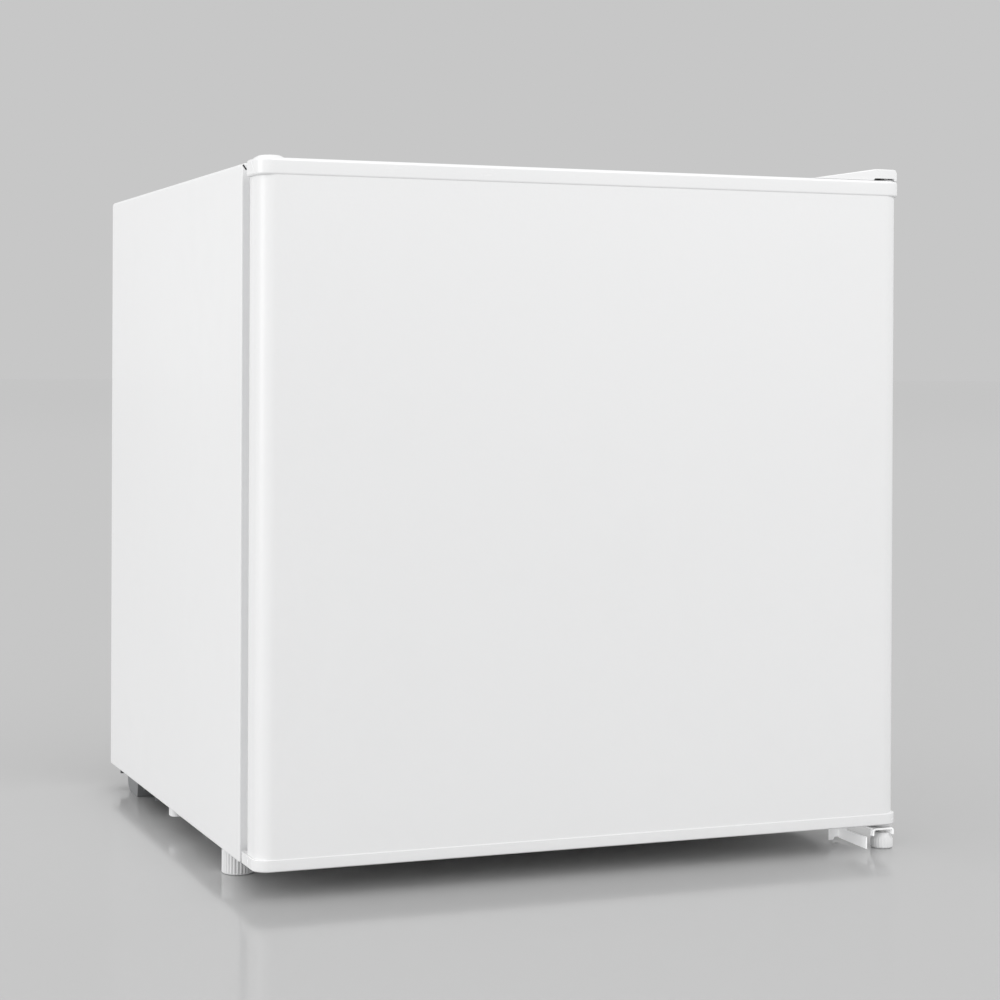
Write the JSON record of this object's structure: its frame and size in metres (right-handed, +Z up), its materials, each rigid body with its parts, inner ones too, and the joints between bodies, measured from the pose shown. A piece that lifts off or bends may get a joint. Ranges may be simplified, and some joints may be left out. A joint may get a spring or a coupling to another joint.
{
  "type": "mini fridge",
  "caption": "Compact cube refrigerator with one flat right-hung door, ice box with flap and drip tray, wire shelf, door racks and adjustable front feet.",
  "frame": {"origin": "on the floor under the middle of the whole object", "axes": "+X to the hinge side (right, seen from the front), +Y towards the back, +Z up"},
  "size_m": [0.48, 0.45, 0.492],
  "materials": {
    "white_enamel": "gloss",
    "white_cap_plastic": "gloss",
    "white_foot_plastic": "satin",
    "liner_plastic": "satin",
    "frosted_plastic": "gloss",
    "gasket_vinyl": "matte",
    "magnet_strip": "matte",
    "insulation_foam": "matte",
    "galvanised_steel": "satin",
    "evaporator_aluminium": "satin",
    "shelf_wire": "gloss",
    "grey_plate": "satin",
    "black_shell": "satin",
    "dark_plastic": "satin",
    "grey_plastic": "satin",
    "dark_rubber": "matte",
    "copper_pipe": "satin",
    "plate_foil": "satin"
  },
  "bodies": {
    "cabinet": {"cabinet_wrapper": "white_enamel", "back_panel": "white_enamel", "base_plate": "white_enamel", "bay_panel": "galvanised_steel", "cabinet_foam": "insulation_foam", "inner_liner": "liner_plastic", "condenser_coil": "galvanised_steel", "ice_box": "evaporator_aluminium", "ice_box_frame": "liner_plastic", "ice_box_clips": "liner_plastic", "tray_rails": "liner_plastic", "thermostat_housing": "liner_plastic", "thermostat_control": "galvanised_steel", "sensing_tube": "copper_pipe", "wire_shelf": "shelf_wire", "upper_hinge_plate": "white_enamel", "upper_hinge_pin": "galvanised_steel", "hinge_cover": "white_cap_plastic", "lower_hinge_bracket": "white_enamel", "lower_hinge_pin": "galvanised_steel", "hinge_screws": "galvanised_steel", "foot_nut": "galvanised_steel", "rear_feet": "grey_plastic", "compressor": "black_shell", "compressor_base": "grey_plate", "grommets": "dark_rubber", "compressor_bolts": "galvanised_steel", "relay_cover": "dark_plastic", "filter_drier": "copper_pipe", "capillary_tube": "copper_pipe", "suction_line": "copper_pipe", "discharge_line": "copper_pipe", "process_tube": "copper_pipe", "wiring_loom": "dark_rubber", "cable_gland": "grey_plastic", "back_screws": "galvanised_steel", "foam_plugs": "white_foot_plastic", "rating_plate": "plate_foil"},
    "door": {"door_skin": "white_enamel", "door_foam": "insulation_foam", "door_liner": "liner_plastic", "door_top_cap": "white_cap_plastic", "door_bottom_cap": "white_cap_plastic", "door_gasket": "gasket_vinyl", "gasket_magnets": "magnet_strip", "hinge_bushes": "white_foot_plastic", "hinge_hole_cover": "white_cap_plastic", "lower_door_rack": "frosted_plastic", "upper_door_rack": "frosted_plastic"},
    "flap": {"ice_box_flap": "frosted_plastic"},
    "tray": {"drip_tray": "frosted_plastic"},
    "knob": {"thermostat_knob": "grey_plastic"},
    "foot_left": {"front_foot_left": "white_foot_plastic", "foot_stud_left": "galvanised_steel"},
    "foot_right": {"front_foot_right": "white_foot_plastic", "foot_stud_right": "galvanised_steel"}
  },
  "joints": [
    {"name": "door_hinge", "type": "hinge", "parent": "cabinet", "child": "door", "pos_m": [0.232, -0.214, 0.25], "axis": [0, 0, 1], "range_deg": [0, 120]},
    {"name": "flap_hinge", "type": "hinge", "parent": "cabinet", "child": "flap", "pos_m": [-0.06, -0.0705, 0.432], "axis": [-1, 0, 0], "range_deg": [0, 80]},
    {"name": "tray_slide", "type": "slide", "parent": "cabinet", "child": "tray", "axis": [0, -1, 0], "range_m": [0, 0.08]},
    {"name": "knob_turn", "type": "hinge", "parent": "cabinet", "child": "knob", "pos_m": [0.135, -0.03, 0.424], "axis": [0, 1, 0], "range_deg": [0, 300]},
    {"name": "left_foot_adjust", "type": "slide", "parent": "cabinet", "child": "foot_left", "axis": [0, 0, -1], "range_m": [0, 0.008]},
    {"name": "right_foot_adjust", "type": "slide", "parent": "cabinet", "child": "foot_right", "axis": [0, 0, -1], "range_m": [0, 0.008]}
  ]
}
